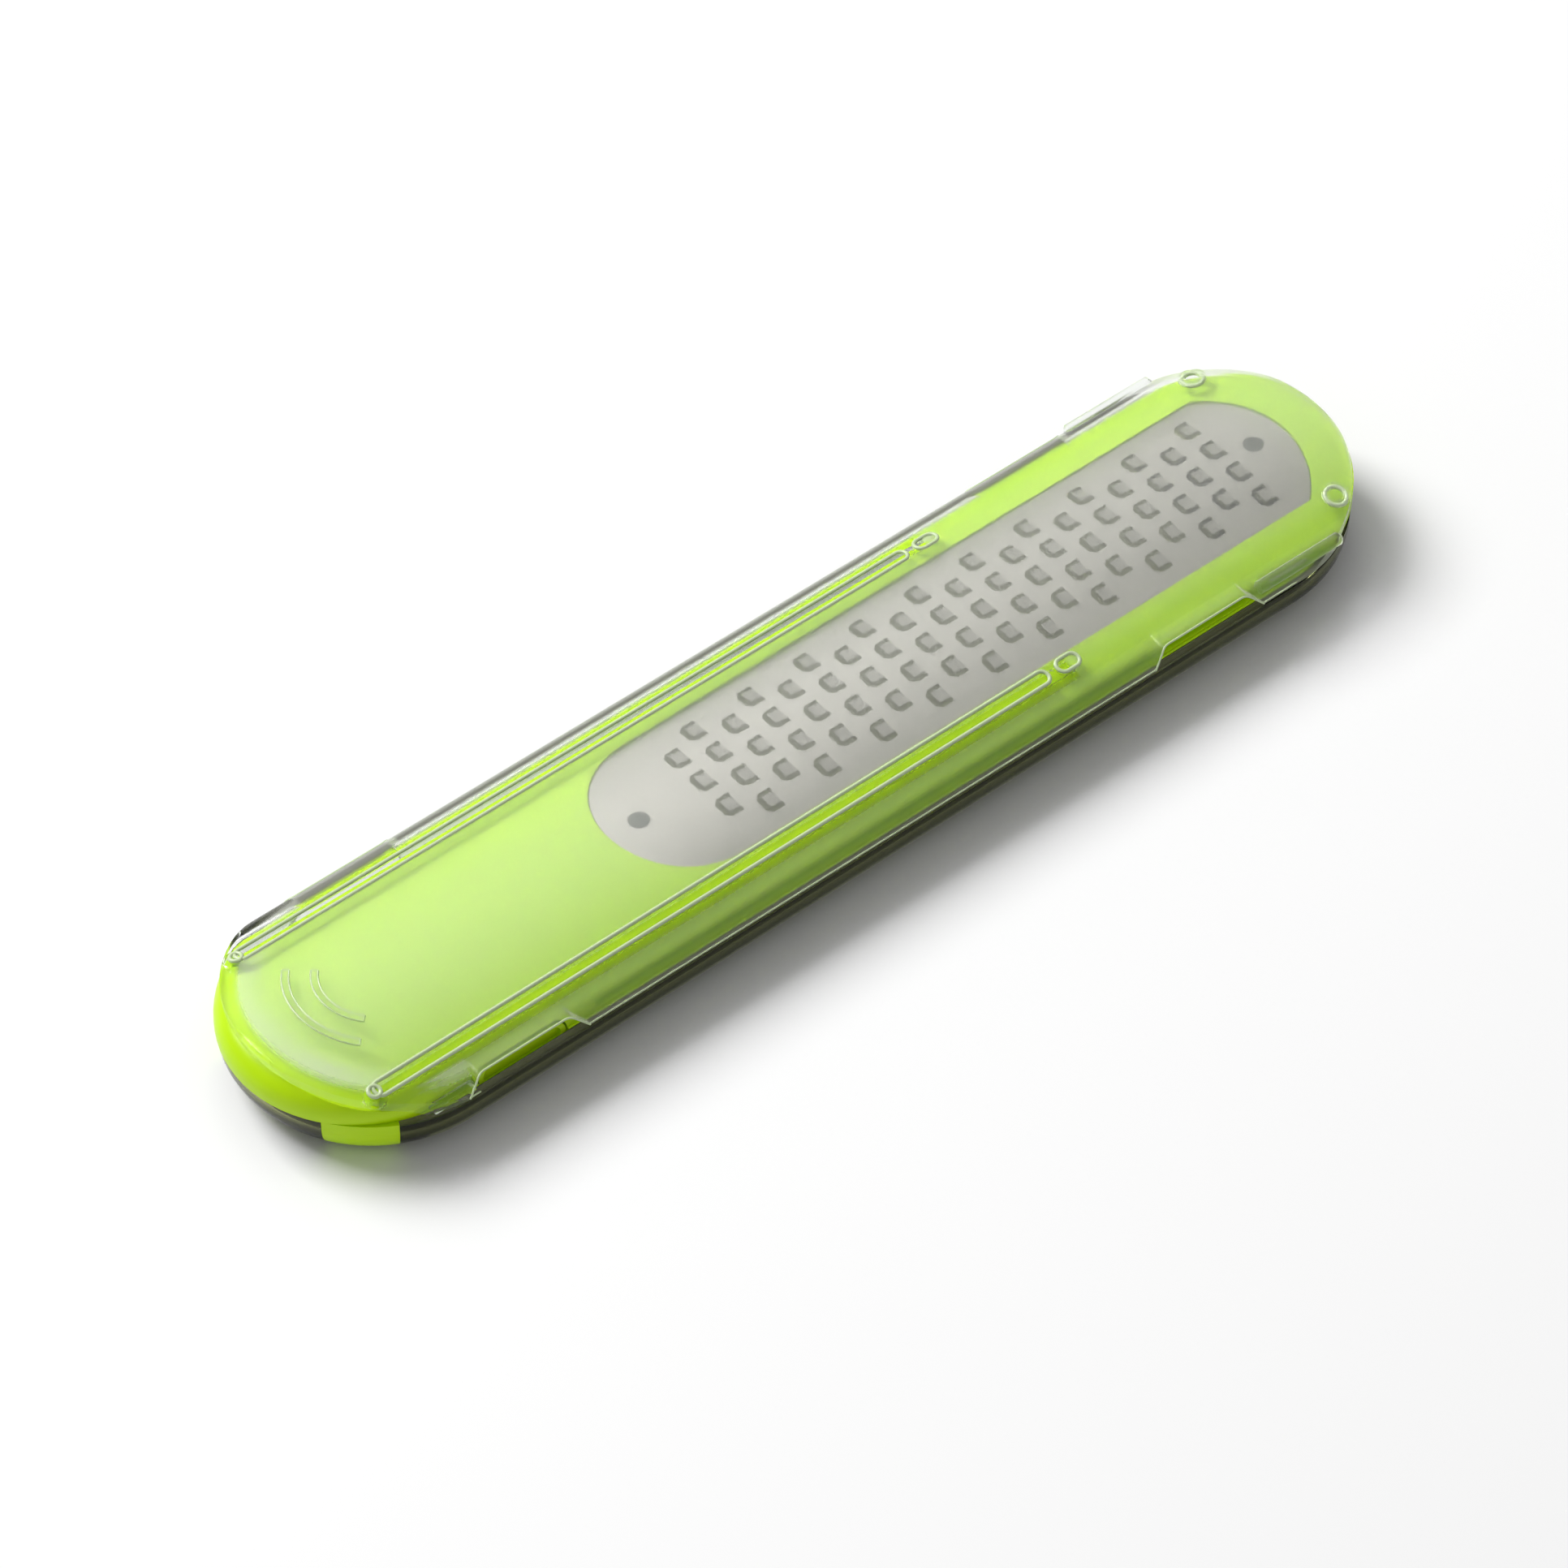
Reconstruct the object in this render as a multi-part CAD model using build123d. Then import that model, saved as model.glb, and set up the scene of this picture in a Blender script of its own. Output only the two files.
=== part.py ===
from build123d import *
import os
from math import sqrt, radians, degrees, asin, cos, sin, tan

# Pocket rasp zester: a lime green frame carries an arched steel blade, a clear tray below
# catches the zest, and a frosted cover slides back along the frame to bare the blade.
# Millimetres. +X to the blade's far end, +Z up, origin at the centre of the flat underside.

# Overall sizes
frame_tip = 98.3
cover_near_tip = 96.5
cover_far_tip = 97.3
tray_near_tip = 97.8
tray_far_tip = 97.3
half_width = 22.0
crown_height = 14.0
parting_height = 7.6
crown_radius = 70.0

# Shells
cover_wall = 1.5
cover_shoulder_radius = 4.5
cover_edge_radius = 0.6
tray_wall = 1.5
keel_radius = 6.0
running_gap = 0.3
frame_roof_gap = 0.35
fit_gap = 0.05
overrun = 5.0

# Frame
frame_wall = 2.0
frame_plate = 2.2
frame_near_edge_radius = 3.6
frame_far_edge_radius = 1.4
skirt_bottom = 6.2
web_thickness = 1.6
web_half_span = 13.0
web_places = (-84.0, -66.0, -50.0)

# Blade
blade_thickness = 0.5
blade_drop = 0.3
blade_half_width = 12.8
blade_near_tip = -34.6
blade_corner_x = 85.0
blade_far_tip = 91.0
blade_ledge = 1.6
blade_side_gap = 0.2
rivet_near_x = -29.3
rivet_far_x = 85.6
rivet_radius = 1.5
rivet_head_height = 0.12
rivet_hole_gap = 0.05
rivet_boss_radius = 3.2
rivet_depth = 1.6

# Teeth, in rows of three and four across the blade
tooth_rows = 20
tooth_first_x = -17.95
tooth_row_pitch = 5.16
tooth_lane_pitch = 5.6
tooth_width = 3.7
tooth_length = 2.9
tooth_slot = 0.8
tooth_rise = 0.28

# Guide tracks, cups and embossed marks of the cover
track_y = 15.5
track_width = 2.0
track_depth = 0.8
track_bump_depth = 0.65
track_near_x = -87.6
track_pocket_x = 36.2
track_bump_length = 1.2
cup_radius = 1.7
nub_radius = 0.7
nub_engagement = 0.35
ring_outer_radius = 2.1
ring_inner_radius = 1.1
ring_height = 0.45
far_ring_x = 87.6
mark_centre_x = -75.8
mark_radii = (12.0, 8.0)
mark_half_angle = 44.0
mark_width = 1.0
mark_height = 0.3

# Side windows, hooks and shoulder pads of the cover
window_length = 16.0
window_slope = 2.4
window_top = 10.3
window_corner = 1.0
near_window_x = -66.0
hook_length = 7.0
hook_height = 0.6
hook_reach = 0.9
hook_bottom = 8.2
near_hook_x = -78.3
far_hook_x = 74.5
pad_near_x = 67.5
pad_far_x = 84.0
pad_radius = 1.0
pad_proud = 0.6
pad_angle = 40.0

# Release buttons
button_length = 15.0
button_bottom = 6.3
button_top = 9.0
button_corner = 1.2
button_depth = 2.9
button_flange = 1.3
button_flange_margin = 1.5
button_travel = 1.2
button_dish_depth = 0.6
button_dish_margin = 1.6

# Corner tabs of the frame, let into the tray
tab_start_angle = 33.0
tab_end_angle = 61.0
tab_thickness = 3.6
tab_bottom = 1.0

# The cover slides back until its side windows have passed from one end to the other
cover_travel = track_pocket_x - track_near_x


def crown_face(half, crown, radius, base, shoulder):
    """Cross-section in the YZ plane: arched top, upright sides, flat base."""
    side_z = crown - radius + sqrt(radius ** 2 - half ** 2)
    arc = ThreePointArc((-half, side_z), (0, crown), (half, side_z))
    rest = Polyline((half, side_z), (half, base), (-half, base), (-half, side_z))
    face = make_face([*arc.edges(), *rest.edges()])
    corners = face.vertices().sort_by(Axis.Y)[-2:]
    return Plane.YZ * fillet(corners, shoulder)


def end_drum(half, centre_x, top, base, edge_radius):
    """Round end as a drum about a vertical axis, with a rounded upper edge."""
    outline = Polyline((0, base), (half, base), (half, top), (0, top), (0, base))
    face = make_face(outline)
    rim = face.vertices().sort_by(Axis.X)[-2:].sort_by(Axis.Y)[-1]
    drum = revolve(Plane.XZ * fillet(rim, edge_radius), Axis.Z)
    return Pos(centre_x, 0, 0) * drum


def crowned_body(half, near, far, crown, radius, base, shoulder, near_edge, far_edge):
    """Long crowned body with round ends, from x = -near to x = far."""
    section = crown_face(half, crown, radius, base - shoulder, shoulder)
    bar = Pos(-near, 0, 0) * extrude(section, near + far)
    near_centre = half - near
    far_centre = far - half
    middle_length = far_centre - near_centre
    middle = Pos(near_centre + middle_length / 2, 0, base) * Box(
        middle_length, half + half, crown - base, align=(Align.CENTER, Align.CENTER, Align.MIN)
    )
    limit = middle + end_drum(half, near_centre, crown, base, near_edge)
    limit = limit + end_drum(half, far_centre, crown, base, far_edge)
    return bar & limit


def stadium(half, near, far):
    """Plan outline with round ends."""
    near_centre = half - near
    far_centre = far - half
    length = far_centre - near_centre
    face = Pos(near_centre + length / 2, 0) * Rectangle(length, half + half)
    return face + Pos(near_centre, 0) * Circle(half) + Pos(far_centre, 0) * Circle(half)


def arch_drop(y, radius):
    """How far an arched surface has dropped at a distance y from the middle."""
    return radius - sqrt(radius ** 2 - y ** 2)


def block(x_low, x_high, y_low, y_high, z_low, z_high):
    """Box between two corners."""
    return Pos(x_low, y_low, z_low) * Box(
        x_high - x_low, y_high - y_low, z_high - z_low, align=(Align.MIN, Align.MIN, Align.MIN)
    )


def both_sides(shape):
    """A shape and its mirror image across the long middle plane."""
    return [shape, mirror(shape, Plane.XZ)]


# Levels and widths that follow from the sizes
cover_lower_edge = parting_height + running_gap
cover_inner_half = half_width - cover_wall
cover_inner_crown = crown_height - cover_wall
cover_inner_radius = crown_radius - cover_wall
cover_inner_shoulder = cover_shoulder_radius - cover_wall
frame_half = cover_inner_half - frame_roof_gap
frame_crown = cover_inner_crown - frame_roof_gap
frame_radius = cover_inner_radius - frame_roof_gap
frame_shoulder = cover_inner_shoulder - frame_roof_gap
frame_base = parting_height + fit_gap
tray_inner_half = half_width - tray_wall
skirt_half = tray_inner_half - fit_gap
blade_top_crown = frame_crown - blade_drop
blade_top_radius = frame_radius - blade_drop
blade_low_crown = blade_top_crown - blade_thickness
blade_low_radius = blade_top_radius - blade_thickness
track_tilt = degrees(asin(track_y / cover_inner_radius))
track_roof_z = cover_inner_crown - arch_drop(track_y, cover_inner_radius)
cover_top_radius_z = crown_height - arch_drop(track_y, crown_radius)
hook_inner_y = cover_inner_half - hook_reach
groove_y = hook_inner_y - running_gap
far_window_x = near_window_x + cover_travel


def window_cutter(centre_x):
    """Side window: a notch with sloping ends, cut up from the cover's lower edge."""
    low = cover_lower_edge - overrun
    slope_low = window_slope * (window_top - low) / (window_top - cover_lower_edge)
    outline = Polyline(
        (-window_length / 2 - slope_low, low),
        (window_length / 2 + slope_low, low),
        (window_length / 2, window_top),
        (-window_length / 2, window_top),
        close=True,
    )
    face = make_face(outline)
    face = fillet(face.vertices().sort_by(Axis.Y)[-2:], window_corner)
    depth = half_width + overrun
    prism = extrude(Plane.XZ.offset(depth) * face, -depth - depth)
    return Pos(centre_x, 0, 0) * prism


def track_frame(x):
    """Place on the cover's inner face at the track, square to the arched roof."""
    return Pos(x, track_y, track_roof_z) * Rot(-track_tilt, 0, 0)


def track_cutters():
    """Groove, near cup and far pocket of one guide track, cut into the roof from inside."""
    run_end = track_pocket_x - track_width - track_bump_length
    run = run_end - track_near_x
    groove = track_frame(track_near_x + run / 2) * extrude(SlotCenterToCenter(run, track_width), track_depth)
    groove = groove + track_frame(track_near_x + run / 2) * extrude(
        SlotCenterToCenter(run, track_width), -track_depth
    )
    cup = track_frame(track_near_x) * Cylinder(cup_radius, track_depth + track_depth)
    pocket = track_frame(track_pocket_x) * extrude(SlotOverall(track_width + track_width, track_width), track_depth)
    pocket = pocket + track_frame(track_pocket_x) * extrude(
        SlotOverall(track_width + track_width, track_width), -track_depth
    )
    bump_run = track_pocket_x - run_end
    bump = track_frame(run_end + bump_run / 2) * Box(bump_run, track_width, track_bump_depth + track_bump_depth)
    return groove + cup + pocket + bump


def thumb_marks():
    """Two embossed arcs for the thumb, following the arched roof."""
    marks = []
    for radius in mark_radii:
        ring = Circle(radius + mark_width / 2) - Circle(radius - mark_width / 2)
        reach = radius + mark_width
        spread = reach * tan(radians(mark_half_angle))
        wedge = make_face(Polyline((0, 0), (-reach, spread), (-reach, -spread), close=True))
        arc = Pos(mark_centre_x, 0) * (ring & wedge)
        marks.append(extrude(Pos(0, 0, crown_height - cover_wall) * arc, cover_wall + overrun))
    skin = arch_bar(
        cover_inner_half, crown_height + mark_height, crown_radius + mark_height, parting_height
    )
    return [mark & skin for mark in marks]


def shoulder_pad():
    """Raised clear pad on the shoulder over the far hook."""
    shoulder_y = half_width - cover_shoulder_radius
    shoulder_z = parting_height
    reach = cover_shoulder_radius + pad_proud - pad_radius
    y = shoulder_y + reach * cos(radians(pad_angle))
    z = shoulder_z + reach * sin(radians(pad_angle))
    length = pad_far_x - pad_near_x
    bar = Cylinder(pad_radius, length)
    bar = chamfer(bar.edges().filter_by(GeomType.CIRCLE), pad_radius / 2)
    return Pos((pad_near_x + pad_far_x) / 2, y, z) * Rot(0, 90, 0) * bar


def cover_hook(centre_x):
    """Inward hook near the cover's lower edge that keeps it on the frame."""
    return block(
        centre_x - hook_length / 2, centre_x + hook_length / 2,
        hook_inner_y, cover_inner_half + cover_wall / 2,
        hook_bottom, hook_bottom + hook_height,
    )


def make_top_cover():
    """Frosted sliding cover with open ends."""
    outer = crowned_body(
        half_width, cover_near_tip, cover_far_tip, crown_height, crown_radius,
        cover_lower_edge, cover_shoulder_radius, cover_edge_radius, cover_edge_radius,
    )
    inner_section = crown_face(
        cover_inner_half, cover_inner_crown, cover_inner_radius,
        cover_lower_edge - overrun, cover_inner_shoulder,
    )
    tunnel_length = cover_near_tip + cover_far_tip + overrun + overrun
    tunnel = Pos(-cover_near_tip - overrun, 0, 0) * extrude(inner_section, tunnel_length)
    cover = outer - tunnel
    ring = Pos(far_ring_x, track_y, cover_top_radius_z) * Rot(-track_tilt, 0, 0) * (
        Cylinder(ring_outer_radius, ring_height + ring_height)
        - Cylinder(ring_inner_radius, ring_height * 4)
    )
    for side in both_sides(shoulder_pad()):
        cover = cover + side
    for side in both_sides(ring):
        cover = cover + side
    for mark in thumb_marks():
        cover = cover + mark
    for place in (near_window_x, far_window_x):
        cover = cover - window_cutter(place)
    for place in (near_hook_x, far_hook_x):
        for side in both_sides(cover_hook(place)):
            cover = cover + side
    for side in both_sides(track_cutters()):
        cover = cover - side
    return cover


def tab_sector(outer, inner, start, end, low, high):
    """Sector of a ring about the near end's centre."""
    centre_x = half_width - tray_near_tip
    ring = Circle(outer) - Circle(inner)
    reach = (outer + inner) * 2
    wedge = make_face(Polyline(
        (0, 0),
        (-reach * cos(radians(start)), reach * sin(radians(start))),
        (-reach * cos(radians(end)), reach * sin(radians(end))),
        close=True,
    ))
    return extrude(Pos(centre_x, 0, low) * (ring & wedge), high - low)


def tray_outer():
    """Outer form of the tray, with a rounded keel."""
    depth = parting_height
    blank = extrude(stadium(half_width, tray_near_tip, tray_far_tip), depth)
    return fillet(blank.faces().sort_by(Axis.Z)[0].edges(), keel_radius)


def make_bottom_cover():
    """Clear tray below the blade, notched at its near corners for the frame's tabs."""
    cavity = extrude(
        Pos(0, 0, tray_wall) * stadium(tray_inner_half, tray_near_tip - tray_wall, tray_far_tip - tray_wall),
        parting_height,
    )
    cavity = fillet(cavity.faces().sort_by(Axis.Z)[0].edges(), keel_radius - tray_wall)
    tray = tray_outer() - cavity
    margin = degrees(fit_gap / half_width)
    notch = tab_sector(
        half_width + overrun, half_width - tab_thickness - fit_gap,
        tab_start_angle - margin, tab_end_angle + margin, tab_bottom - overrun, parting_height + overrun,
    )
    for side in both_sides(notch):
        tray = tray - side
    return tray


def button_block(margin, depth):
    """Pad of a release button, or with a margin its pocket."""
    face = RectangleRounded(
        button_length + margin + margin, button_top - button_bottom + margin + margin, button_corner + margin
    )
    z = (button_top + button_bottom) / 2
    start = frame_half + margin
    prism = extrude(Plane.XZ * face, depth + margin)
    return Pos(near_window_x, start, z) * prism


def button_flange_block(margin, travel):
    """Flange that keeps a release button behind the frame's wall."""
    half_length = button_length / 2 + button_flange_margin + margin
    y_high = frame_half - frame_wall - running_gap + margin
    y_low = frame_half - frame_wall - running_gap - button_flange - travel - margin
    return block(
        near_window_x - half_length, near_window_x + half_length,
        y_low, y_high, button_bottom - margin, button_top - running_gap + margin,
    )


def frame_upper():
    """Outer form of the green frame above the parting line."""
    return crowned_body(
        frame_half, frame_tip, frame_tip, frame_crown, frame_radius,
        frame_base, frame_shoulder, frame_near_edge_radius, frame_far_edge_radius,
    )


def blade_plan(margin):
    """Plan outline of the blade: round near end, shallow arc at the far end."""
    half = blade_half_width + margin
    near_centre = blade_near_tip + blade_half_width
    outline = [
        ThreePointArc((near_centre, half), (blade_near_tip - margin, 0), (near_centre, -half)),
        Line((near_centre, -half), (blade_corner_x, -half)),
        ThreePointArc((blade_corner_x, -half), (blade_far_tip + margin, 0), (blade_corner_x, half)),
        Line((blade_corner_x, half), (near_centre, half)),
    ]
    return make_face([edge for part in outline for edge in part.edges()])


def arch_bar(half, crown, radius, base):
    """Bar under an arched top, as long as the frame."""
    side_z = crown - radius + sqrt(radius ** 2 - half ** 2)
    arc = ThreePointArc((-half, side_z), (0, crown), (half, side_z))
    rest = Polyline((half, side_z), (half, base), (-half, base), (-half, side_z))
    face = make_face([*arc.edges(), *rest.edges()])
    return Pos(-frame_tip, 0, 0) * extrude(Plane.YZ * face, frame_tip + frame_tip)


def make_body_frame():
    """Green frame: crowned plate, side walls, blade seat, tabs, nubs and button pockets."""
    frame = frame_upper()
    skirt = extrude(
        Pos(0, 0, skirt_bottom) * stadium(skirt_half, tray_near_tip - tray_wall - fit_gap, tray_far_tip - tray_wall - fit_gap),
        frame_base - skirt_bottom,
    )
    frame = frame + skirt
    inner_half = frame_half - frame_wall
    hollow = arch_bar(inner_half, frame_crown - frame_plate, frame_radius - frame_plate, skirt_bottom - overrun)
    hollow_plan = extrude(
        Pos(0, 0, skirt_bottom - overrun)
        * stadium(inner_half, tray_near_tip - tray_wall - frame_wall, tray_far_tip - tray_wall - frame_wall),
        crown_height + overrun,
    )
    frame = frame - (hollow & hollow_plan)
    plate_low = frame_crown - frame_plate
    for x in web_places:
        frame = frame + block(
            x - web_thickness / 2, x + web_thickness / 2,
            -web_half_span, web_half_span, skirt_bottom, plate_low - arch_drop(web_half_span, frame_radius),
        ) + block(
            x - web_thickness / 2, x + web_thickness / 2,
            -web_half_span / 2, web_half_span / 2, skirt_bottom, plate_low,
        )
    frame = frame + block(
        web_places[0], blade_near_tip - rivet_boss_radius,
        -web_thickness / 2, web_thickness / 2, skirt_bottom, plate_low,
    )
    boss_low = blade_low_crown - frame_plate
    for x in (rivet_near_x, rivet_far_x):
        frame = frame + Pos(x, 0, boss_low) * Cylinder(
            rivet_boss_radius, frame_plate, align=(Align.CENTER, Align.CENTER, Align.MIN)
        )
    seat_bar = arch_bar(half_width, crown_height + overrun, crown_radius, 0) - arch_bar(
        half_width, blade_low_crown, blade_low_radius, -overrun
    )
    seat = extrude(blade_plan(blade_side_gap), crown_height + overrun) & seat_bar
    frame = frame - seat
    well = extrude(blade_plan(-blade_ledge), crown_height + overrun)
    for x in (rivet_near_x, rivet_far_x):
        well = well - Pos(x, 0, 0) * extrude(Circle(rivet_boss_radius), crown_height + overrun)
        bridge_half = rivet_boss_radius
        x_out = x - rivet_boss_radius * 3 if x < 0 else x + rivet_boss_radius * 3
        well = well - block(min(x, x_out), max(x, x_out), -bridge_half, bridge_half, 0, crown_height + overrun)
    frame = frame - well
    for x in (rivet_near_x, rivet_far_x):
        frame = frame - Pos(x, 0, blade_low_crown) * Cylinder(
            rivet_radius, rivet_depth + rivet_depth
        )
    tab = tab_sector(
        half_width, half_width - tab_thickness, tab_start_angle, tab_end_angle, tab_bottom, frame_base + fit_gap
    ) & tray_outer_raised()
    for side in both_sides(tab):
        frame = frame + side
    for low, high in ((-frame_tip - overrun, near_hook_x + hook_length / 2 + running_gap),
                      (far_hook_x - hook_length / 2 - cover_travel - running_gap, frame_tip + overrun)):
        groove = block(
            low, high, groove_y, half_width + overrun,
            hook_bottom - running_gap, hook_bottom + hook_height + running_gap,
        )
        for side in both_sides(groove):
            frame = frame - side
    nub_top = track_roof_z + nub_engagement
    nub = Pos(track_near_x, track_y, frame_base) * Cylinder(
        nub_radius, nub_top - frame_base, align=(Align.CENTER, Align.CENTER, Align.MIN)
    )
    for side in both_sides(nub):
        frame = frame + side
    for side in both_sides(button_block(running_gap, button_depth + button_travel)):
        frame = frame - side
    for side in both_sides(button_flange_block(running_gap, button_travel)):
        frame = frame - side
    return frame


def tray_outer_raised():
    """The tray's outer form, carried up past the parting line for the tabs."""
    top = extrude(
        Pos(0, 0, parting_height) * stadium(half_width, tray_near_tip, tray_far_tip), fit_gap + fit_gap
    )
    return tray_outer() + top


def make_button():
    """Release button: dished pad with a flange behind the frame's wall."""
    pad = button_block(0, button_depth) & frame_upper_tall()
    dish_length = button_length - button_dish_margin
    dish_height = button_top - button_bottom - button_dish_margin / 2
    dish_face = Plane.XZ * SlotOverall(dish_length, dish_height)
    dish = Pos(near_window_x, frame_half + overrun, (button_top + button_bottom) / 2) * extrude(
        dish_face, button_dish_depth + overrun
    )
    return pad - dish + button_flange_block(0, 0)


def frame_upper_tall():
    """The frame's outer form, carried down past its skirt, which a button follows."""
    section = crown_face(frame_half, frame_crown, frame_radius, skirt_bottom - overrun, frame_shoulder)
    return Pos(-frame_tip, 0, 0) * extrude(section, frame_tip + frame_tip)


def tooth_places():
    """Places of the teeth: rows of three and four in turn."""
    places = []
    for row in range(tooth_rows):
        count = 3 + row % 2
        x = tooth_first_x + tooth_row_pitch * row
        for index in range(count):
            places.append((x, tooth_lane_pitch * (index - (count - 1) / 2)))
    return places


def make_blade():
    """Arched steel blade with rows of U-shaped openings and raised cutting tongues."""
    sheet = arch_bar(half_width, blade_top_crown, blade_top_radius, 0) - arch_bar(
        half_width, blade_low_crown, blade_low_radius, -overrun
    )
    blade = sheet & extrude(blade_plan(0), crown_height)
    for x in (rivet_near_x, rivet_far_x):
        blade = blade - Pos(x, 0, 0) * extrude(Circle(rivet_radius + rivet_hole_gap), crown_height)
    outer = Rectangle(tooth_length, tooth_width)
    outer = chamfer(outer.vertices().sort_by(Axis.X)[:2], tooth_slot)
    inner = Pos(tooth_slot, 0) * Rectangle(tooth_length, tooth_width - tooth_slot - tooth_slot)
    slot = outer - inner
    slots = Sketch() + [Pos(x, y) * slot for x, y in tooth_places()]
    blade = blade - extrude(slots, crown_height)
    tongue_width = tooth_width - tooth_slot - tooth_slot
    half_length = tooth_length / 2
    profile = make_face(Polyline(
        (-half_length + tooth_slot, -blade_thickness / 2),
        (half_length, -blade_thickness / 2),
        (half_length, 0),
        (-half_length + tooth_slot, tooth_rise),
        close=True,
    ))
    tongue = extrude(Plane.XZ * profile, tongue_width / 2, both=True)
    tongues = []
    for x, y in tooth_places():
        z = blade_top_crown - arch_drop(y, blade_top_radius)
        tilt = -degrees(asin(y / blade_top_radius))
        tongues.append(Pos(x, y, z) * Rot(tilt, 0, 0) * tongue)
    return blade + tongues


def make_rivet(x):
    """Rivet that holds one end of the blade to the frame."""
    shank_length = blade_thickness + rivet_depth - fit_gap
    shank = Pos(x, 0, blade_top_crown - shank_length) * Cylinder(
        rivet_radius - fit_gap, shank_length + rivet_head_height, align=(Align.CENTER, Align.CENTER, Align.MIN)
    )
    return chamfer(shank.edges().sort_by(Axis.Z)[-1], rivet_head_height / 2)


button = make_button()
parts = {
    "top_cover": make_top_cover(),
    "bottom_cover": make_bottom_cover(),
    "body_frame": make_body_frame(),
    "blade": make_blade(),
    "blade_rivet_near": make_rivet(rivet_near_x),
    "blade_rivet_far": make_rivet(rivet_far_x),
    "release_button_left": button,
    "release_button_right": mirror(button, Plane.XZ),
}

os.makedirs("parts", exist_ok=True)
for name, shape in parts.items():
    export_step(shape, f"parts/{name}.step")
    print(name, round(shape.volume, 1))
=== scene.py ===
from math import cos, pi, radians, sin, sqrt

import bpy
from bpy.props import FloatProperty, FloatVectorProperty, PointerProperty
from bpy.types import Operator, Panel, PropertyGroup
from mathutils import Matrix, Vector


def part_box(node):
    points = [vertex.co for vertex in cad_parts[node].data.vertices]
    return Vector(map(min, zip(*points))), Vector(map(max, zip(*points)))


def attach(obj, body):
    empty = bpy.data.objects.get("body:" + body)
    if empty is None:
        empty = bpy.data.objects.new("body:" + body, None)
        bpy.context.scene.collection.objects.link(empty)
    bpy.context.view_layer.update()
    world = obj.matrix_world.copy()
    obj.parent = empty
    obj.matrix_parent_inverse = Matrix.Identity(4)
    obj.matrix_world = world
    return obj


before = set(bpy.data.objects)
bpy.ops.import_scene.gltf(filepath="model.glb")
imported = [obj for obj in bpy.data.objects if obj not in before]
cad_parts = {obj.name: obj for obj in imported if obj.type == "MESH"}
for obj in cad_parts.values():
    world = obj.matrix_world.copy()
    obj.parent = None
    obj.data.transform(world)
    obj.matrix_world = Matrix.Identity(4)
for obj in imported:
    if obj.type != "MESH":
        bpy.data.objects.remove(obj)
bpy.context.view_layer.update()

bl_info = {
    "name": "Rasp Zester Look",
    "version": (1, 0, 0),
    "blender": (4, 5, 0),
    "location": "3D View > Sidebar > Zester",
    "description": "Dresses the rasp zester's solids with materials, clear trim and a studio",
    "category": "Object",
}

MM = 0.001
COVER_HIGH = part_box("top_cover")[1]

# Sizes shared with the solids
CROWN_HEIGHT = 14.0 * MM
CROWN_RADIUS = 70.0 * MM
TRACK_Y = 15.5 * MM
TRACK_NEAR_X = -87.6 * MM
TRACK_POCKET_X = 36.2 * MM
TRACK_RUN_END_X = 32.5 * MM
SHOULDER_RADIUS = 4.5 * MM
SHOULDER_CENTRE_Y = COVER_HIGH[1] - SHOULDER_RADIUS
CROWN_CENTRE_Z = CROWN_HEIGHT - CROWN_RADIUS
SHOULDER_CENTRE_Z = CROWN_CENTRE_Z + sqrt((CROWN_RADIUS - SHOULDER_RADIUS) ** 2 - SHOULDER_CENTRE_Y ** 2)
END_CENTRE_X = -74.5 * MM
MARK_CENTRE_X = -75.8 * MM
MARK_RADII = (12 * MM, 8 * MM)
MARK_HALF_ANGLE = radians(44)
MARK_WIDTH = 1 * MM
CUP_RADIUS = 1.7 * MM
FAR_RING_X = 87.6 * MM
FAR_RING_RADIUS = 1.6 * MM
WINDOW_CENTRES = (-66.0 * MM, 57.8 * MM)
WINDOW_HALF = 8.0 * MM
WINDOW_SLOPE = 2.4 * MM
WINDOW_TOP = 10.3 * MM
WINDOW_CORNER = 1.0 * MM
COVER_EDGE = 7.9 * MM
POCKET_HALF_LENGTH = 1.9 * MM

# Steps along the trim's curves
LOOP_END_STEPS = 14
LOOP_RUN_STEPS = 30
RING_STEPS = 28
MARK_STEPS = 24
CORNER_STEPS = 6

# Share of a bead's radius that is let into the roof
BEAD_SINK = 0.35

# Light that the see-through walls let fall on what lies behind them
COVER_SHADE = (0.43, 0.41, 0.43, 1.0)
TRAY_SHADE = (0.36, 0.40, 0.25, 1.0)
# Share of white haze that paints a highlight inside the near end's rounded edge
NEAR_END_PAINTED_HIGHLIGHT = 0.35

# Places of the two lights, in metres
KEY_PLACE = (-0.4, 1.2, 1.2)
BOX_PLACE = (0.32, 0.92, 1.24)


def length_property(name, description, default):
    """A length in metres that a user may change."""
    return FloatProperty(name=name, description=description, default=default, unit="LENGTH", precision=5)


def colour_property(name, description, default):
    """A linear colour that a user may change."""
    return FloatVectorProperty(
        name=name, description=description, default=default, size=4, subtype="COLOR", min=0.0, max=1.0
    )


class ZesterCameraSettings(PropertyGroup):
    azimuth: FloatProperty(
        name="Azimuth", description="Camera's angle round the tool",
        default=radians(-39.74), subtype="ANGLE"
    )
    elevation: FloatProperty(
        name="Elevation", description="Camera's angle above the floor",
        default=radians(47.78), subtype="ANGLE"
    )
    distance: length_property("Distance", "From the aim point to the camera", 1.0556)
    aim_right: length_property("Aim right", "Aim point's shift across the picture", -0.0024)
    aim_up: length_property("Aim up", "Aim point's shift up the picture", -0.0090)
    aim_height: length_property("Aim height", "Aim point's height above the floor", 0.0123)
    lens: FloatProperty(name="Lens", description="Focal length in millimetres", default=172.5, min=1.0)


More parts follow.
